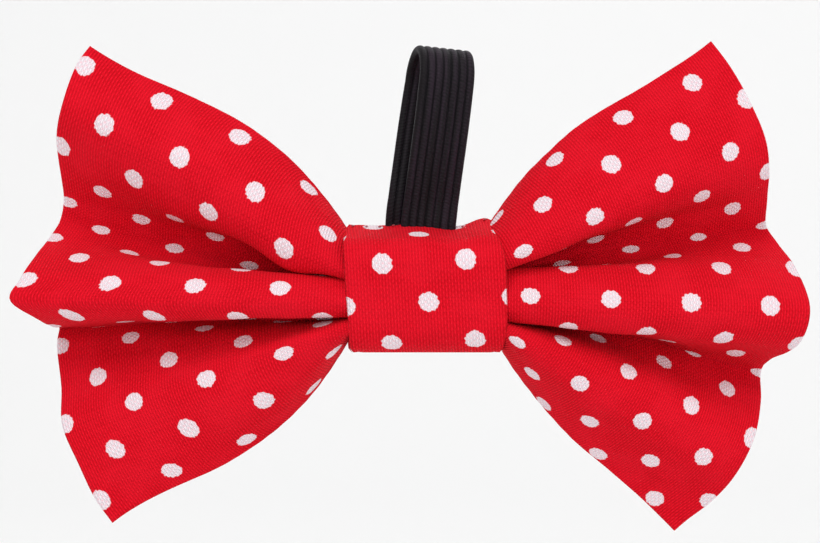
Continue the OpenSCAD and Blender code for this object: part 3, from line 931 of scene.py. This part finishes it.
def stitch_tree():
    """Geometry Nodes: one rounded stitch at every step along the lines of a mesh."""
    tree = bpy.data.node_groups.get("stitch_rows")
    if tree:
        return tree
    tree = bpy.data.node_groups.new("stitch_rows", "GeometryNodeTree")
    face = tree.interface
    face.new_socket("Geometry", in_out="OUTPUT", socket_type="NodeSocketGeometry")
    kinds = {
        "Geometry": "Geometry", "Step": "Float", "Length": "Float", "Thickness": "Float",
        "Slant": "Float", "Seed": "Int", "Material": "Material",
    }
    for name, kind in kinds.items():
        face.new_socket(name, in_out="INPUT", socket_type="NodeSocket" + kind)
    given = tree.nodes.new("NodeGroupInput").outputs
    sockets = {socket.name: Sock(tree, socket) for socket in given if socket.name}
    lines = add_node(tree, "GeometryNodeMeshToCurve", None, {"Mesh": sockets["Geometry"]})
    spots = add_node(
        tree, "GeometryNodeResampleCurve", {"mode": "LENGTH"},
        {"Curve": lines, "Length": sockets["Step"]},
    )
    bead = add_node(
        tree, "GeometryNodeMeshUVSphere", None, {"Segments": 8, "Rings": 8, "Radius": 0.5}
    )
    size = add_node(
        tree, "ShaderNodeCombineXYZ", None,
        {"X": sockets["Length"], "Y": sockets["Thickness"], "Z": sockets["Thickness"]},
    )
    along = add_node(
        tree, "FunctionNodeAlignRotationToVector", {"axis": "X"},
        {"Vector": add_node(tree, "GeometryNodeInputTangent")},
    )
    sway = add_node(
        tree, "FunctionNodeRandomValue", {"data_type": "FLOAT"},
        {2: -0.12, 3: 0.12, "Seed": sockets["Seed"]}, 1,
    )
    turn = add_node(tree, "ShaderNodeCombineXYZ", None, {"Z": sockets["Slant"] + sway})
    turned = add_node(
        tree, "FunctionNodeRotateRotation", {"rotation_space": "LOCAL"},
        {"Rotation": along, "Rotate By": turn},
    )
    placed = add_node(
        tree, "GeometryNodeInstanceOnPoints", None,
        {"Points": spots, "Instance": bead, "Rotation": turned, "Scale": size},
    )
    real = add_node(tree, "GeometryNodeRealizeInstances", None, {"Geometry": placed})
    painted = add_node(
        tree, "GeometryNodeSetMaterial", None,
        {"Geometry": real, "Material": sockets["Material"]},
    )
    tree.links.new(painted.socket, tree.nodes.new("NodeGroupOutput").inputs[0])
    return tree


def stitches(name, paths, step, length, slant, seed, thread):
    """A plain mesh of stitches along one or more paths, made by the stitch nodes."""
    mesh = bpy.data.meshes.new(name + "_path")
    points, edges = [], []
    for path in paths:
        edges += [(len(points) + k, len(points) + k + 1) for k in range(len(path) - 1)]
        points += (np.asarray(path) * MM).tolist()
    mesh.from_pydata(points, edges, [])
    obj = add_object(name, mesh)
    rows = obj.modifiers.new("stitches", "NODES")
    tree = stitch_tree()
    values = {
        "Step": step * MM, "Length": length * MM, "Thickness": THREAD * MM,
        "Slant": slant, "Seed": seed, "Material": thread,
    }
    rows.node_group = tree
    for item in tree.interface.items_tree:
        if item.in_out == "INPUT" and item.name in values:
            rows[item.identifier] = values[item.name]
    ready = obj.evaluated_get(bpy.context.evaluated_depsgraph_get())
    made = bpy.data.meshes.new_from_object(ready)
    obj.modifiers.clear()
    obj.data = made
    made.name = name
    made.polygons.foreach_set("use_smooth", [True] * len(made.polygons))
    return obj


def closing_paths():
    """The two runs of stitches along the wrap's top, left and right of the elastic."""
    top = np.array(WRAP_TOP)
    paths = []
    first, last, gap = -9.2, 7.6, 0.9
    for start, end in ((first, TAILS_LOW[0] - gap), (TAILS_HIGH[0] + gap, last)):
        x = np.linspace(start, end, 20)
        z = WRAP_SEAM_Z + through(top[:, 0], top[:, 1:], x)[:, 0]
        paths.append(np.stack([x, np.full_like(x, TAILS_Y), z], -1))
    return paths


# ---- operators


def paint(obj, material):
    """Gives an object one material."""
    obj.data.materials.clear()
    obj.data.materials.append(material)
    return obj


def look(make, name=None, *details):
    """The material of that name or of its maker's, made the first time that it is wanted."""
    return bpy.data.materials.get(name or make.__name__) or make(*details)


def cotton():
    """The printed cotton of the bow."""
    name = "cotton_print"
    return look(dotted_cotton, name, bpy.context.scene.bow_cloth, name)


def flex(obj):
    """Bakes the placement of a piece of a wing into its mesh."""
    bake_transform(obj)


class BOW_OT_wings(bpy.types.Operator):
    """Adds the two wings: sewn bags of dotted cotton beside the wrap"""

    bl_idname = "bow.wings"
    bl_label = "Wings"

    def execute(self, context):
        for name, wing in WINGS.items():
            obj = paint(wing_cloth(wing, context.scene.bow_cloth), cotton())
            side = name.split("_")[0]
            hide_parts(side + "_front_cloth", side + "_back_cloth")
            long, wide = wing.end_u - wing.start_u, wing.high_v - wing.low_v
            wide * MM
            long * MM
            flex(obj)
        return {"FINISHED"}


class BOW_OT_stiffeners(bpy.types.Operator):
    """Adds the interfacing and the seam inside each wing"""

    bl_idname = "bow.stiffeners"
    bl_label = "Interfacing and seams"

    def execute(self, context):
        for name, wing in WINGS.items():
            side = name.split("_")[0]
            obj = paint(wing_stiffener(wing), look(pale_interfacing))
            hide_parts(side + "_interfacing")
            long = wing.end_u - wing.start_u - SEAM_TRIM
            long * MM
            flex(obj)
            seam_name = side + "_seam_stitches"
            seam = stitches(seam_name, [seam_path(wing)], 2.2, 1.9, 0.0, 3, look(red_thread))
            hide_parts(side + "_edge_seam")
            flex(seam)
        return {"FINISHED"}


class BOW_OT_wrap(bpy.types.Operator):
    """Adds the centre wrap, its lining and its closing stitches, and the pleats inside it"""

    bl_idname = "bow.wrap"
    bl_label = "Centre wrap"

    def execute(self, context):
        name = "cotton_print_wrap"
        turn, shift = math.radians(3.3), (0.28, -1.95)
        wrap_print = look(dotted_cotton, name, context.scene.bow_cloth, name, turn, shift)
        round_wrap = rounded_ring(WRAP_CORNERS, 100)[2]
        outer = paint(wrap_sleeve("centre_wrap_cloth", 0.4, 0.0, 0.0), wrap_print)
        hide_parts("centre_wrap")
        round_wrap * MM
        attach(outer, "knot")
        strip = wrap_sleeve("wrap_interfacing_strip", INTERFACING_HALF, 0.6, 1.2)
        lining = paint(strip, look(pale_interfacing))
        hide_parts("wrap_interfacing")
        round_wrap * MM
        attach(lining, "knot")
        waist = paint(waist_pleats(), cotton())
        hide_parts("gathered_waist")
        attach(waist, "knot")
        closing = stitches(
            "wrap_seam_stitches", closing_paths(), 1.5, 2.0, 1.25, 5, look(red_thread)
        )
        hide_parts("wrap_closing_stitches")
        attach(closing, "knot")
        for name in ("gathering_thread", "elastic_bar_tack"):
            paint(frame["nodes"][name], look(red_thread))
        return {"FINISHED"}


class BOW_OT_elastic(bpy.types.Operator):
    """Adds the braided elastic: its tails in the wrap and its loop"""

    bl_idname = "bow.elastic"
    bl_label = "Elastic"

    def execute(self, context):
        braid = context.scene.bow_braid
        black = look(black_braid, None, braid)
        tails = paint(braid_strip("elastic_tails_braid", braid, False), black)
        loop = paint(braid_strip("elastic_loop_braid", braid, True), black)
        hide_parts("elastic_tails")
        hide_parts("elastic_front_strand", "elastic_back_strand", "elastic_crown")
        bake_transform(tails)
        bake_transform(loop)
        return {"FINISHED"}


# The studio, in millimetres: how far under the bow its floor lies, and where that bends upwards
FLOOR_DROP, SWEEP_Y, SWEEP_RADIUS = 22, 400, 500
AIR_STRENGTH = 0.58
# The lamps: name, place and size in metres, and power in watts
LIGHTS = (
    ("key_light", (-0.2, -0.7, 1.0), 0.7, 6.6),
    ("fill_light", (0.8, -0.9, 0.35), 0.9, 2.2),
    ("front_light", (0.0, -1.3, 0.2), 0.8, 2.2),
    ("back_light", (0.2, 0.75, 0.8), 0.8, 2.5),
)
# The camera: its sensor in millimetres, and in metres the distance from the bow's front, the
# width seen there, and the place across and up that it faces
SENSOR_MM, EYE_DISTANCE, VIEW_WIDTH, EYE_X, EYE_Z = 36, 0.45, 0.1034, -0.00195, 0.00183


class BOW_OT_stage(bpy.types.Operator):
    """Adds the pale studio sweep, the soft lights and the camera"""

    bl_idname = "bow.stage"
    bl_label = "Studio"

    def execute(self, context):
        scene = context.scene
        mat, _, shader = new_material("studio_paper", Roughness=0.9)
        shader.inputs["Base Color"].default_value = (0.9, 0.9, 0.9, 1)
        floor_z = CAD_BOX[0][2] / MM - FLOOR_DROP
        profile = [(-1500, floor_z), (SWEEP_Y, floor_z)]
        for angle in np.radians(np.arange(6, 91, 6)):
            bend = (math.sin(angle), 1 - math.cos(angle))
            profile.append((SWEEP_Y + SWEEP_RADIUS * bend[0], floor_z + SWEEP_RADIUS * bend[1]))
        profile.append((SWEEP_Y + SWEEP_RADIUS, 2200))
        points = [(x, y, z) for y, z in profile for x in (-2500, 2500)]
        quads = [[2 * k, 2 * k + 1, 2 * k + 3, 2 * k + 2] for k in range(len(profile) - 1)]
        sweep = mesh_object("studio_sweep", points, quads, np.zeros((len(points), 2)))
        paint(sweep, mat)
        world = bpy.data.worlds.new("studio_air")
        world.use_nodes = True
        air = world.node_tree.nodes["Background"].inputs
        air["Color"].default_value = (1, 1, 1, 1)
        air["Strength"].default_value = AIR_STRENGTH
        scene.world = world
        for name, place, size, power in LIGHTS:
            light = bpy.data.lights.new(name, "AREA")
            light.energy, light.size = power, size
            lamp = add_object(name, light)
            lamp.location = place
            aim(lamp, (0, 0, 0))
        camera = bpy.data.cameras.new("studio_camera")
        camera.sensor_width = SENSOR_MM
        camera.lens = SENSOR_MM * EYE_DISTANCE / VIEW_WIDTH
        camera.clip_start = 0.01
        eye = add_object("studio_camera", camera)
        eye.location = (EYE_X, -0.007 - EYE_DISTANCE, EYE_Z)
        aim(eye, (EYE_X, 0, EYE_Z))
        scene.camera = eye
        scene.view_settings.view_transform = "Standard"
        return {"FINISHED"}


def aim(obj, target):
    """Points a lamp or camera at a place."""
    obj.rotation_euler = (Vector(target) - Vector(obj.location)).to_track_quat("-Z", "Y").to_euler()


class BOW_PT_panel(bpy.types.Panel):
    """Settings and builders of the bow tie"""

    bl_idname = "BOW_PT_panel"
    bl_label = "Bow tie"
    bl_space_type = "VIEW_3D"
    bl_region_type = "UI"
    bl_category = "Bow tie"

    def draw(self, context):
        """Lists the settings, then the builders."""
        for group in (context.scene.bow_cloth, context.scene.bow_braid):
            for key in type(group).__annotations__:
                self.layout.prop(group, key)
        for operator in OPERATORS:
            self.layout.operator(operator.bl_idname)


OPERATORS = (BOW_OT_stage, BOW_OT_wings, BOW_OT_stiffeners, BOW_OT_wrap, BOW_OT_elastic)
CLASSES = (ClothSettings, BraidSettings) + OPERATORS + (BOW_PT_panel,)


def register():
    """Adds the settings, operators and panel."""
    for cls in CLASSES:
        bpy.utils.register_class(cls)
    bpy.types.Scene.bow_cloth = bpy.props.PointerProperty(type=ClothSettings)
    bpy.types.Scene.bow_braid = bpy.props.PointerProperty(type=BraidSettings)


def unregister():
    """Takes them out again."""
    del bpy.types.Scene.bow_braid
    del bpy.types.Scene.bow_cloth
    for cls in reversed(CLASSES):
        bpy.utils.unregister_class(cls)


def main():
    """Builds the bow tie."""
    register()
    bpy.ops.bow.stage()
    bpy.ops.bow.wings()
    bpy.ops.bow.stiffeners()
    bpy.ops.bow.wrap()
    bpy.ops.bow.elastic()


if __name__ == "__main__":
    main()
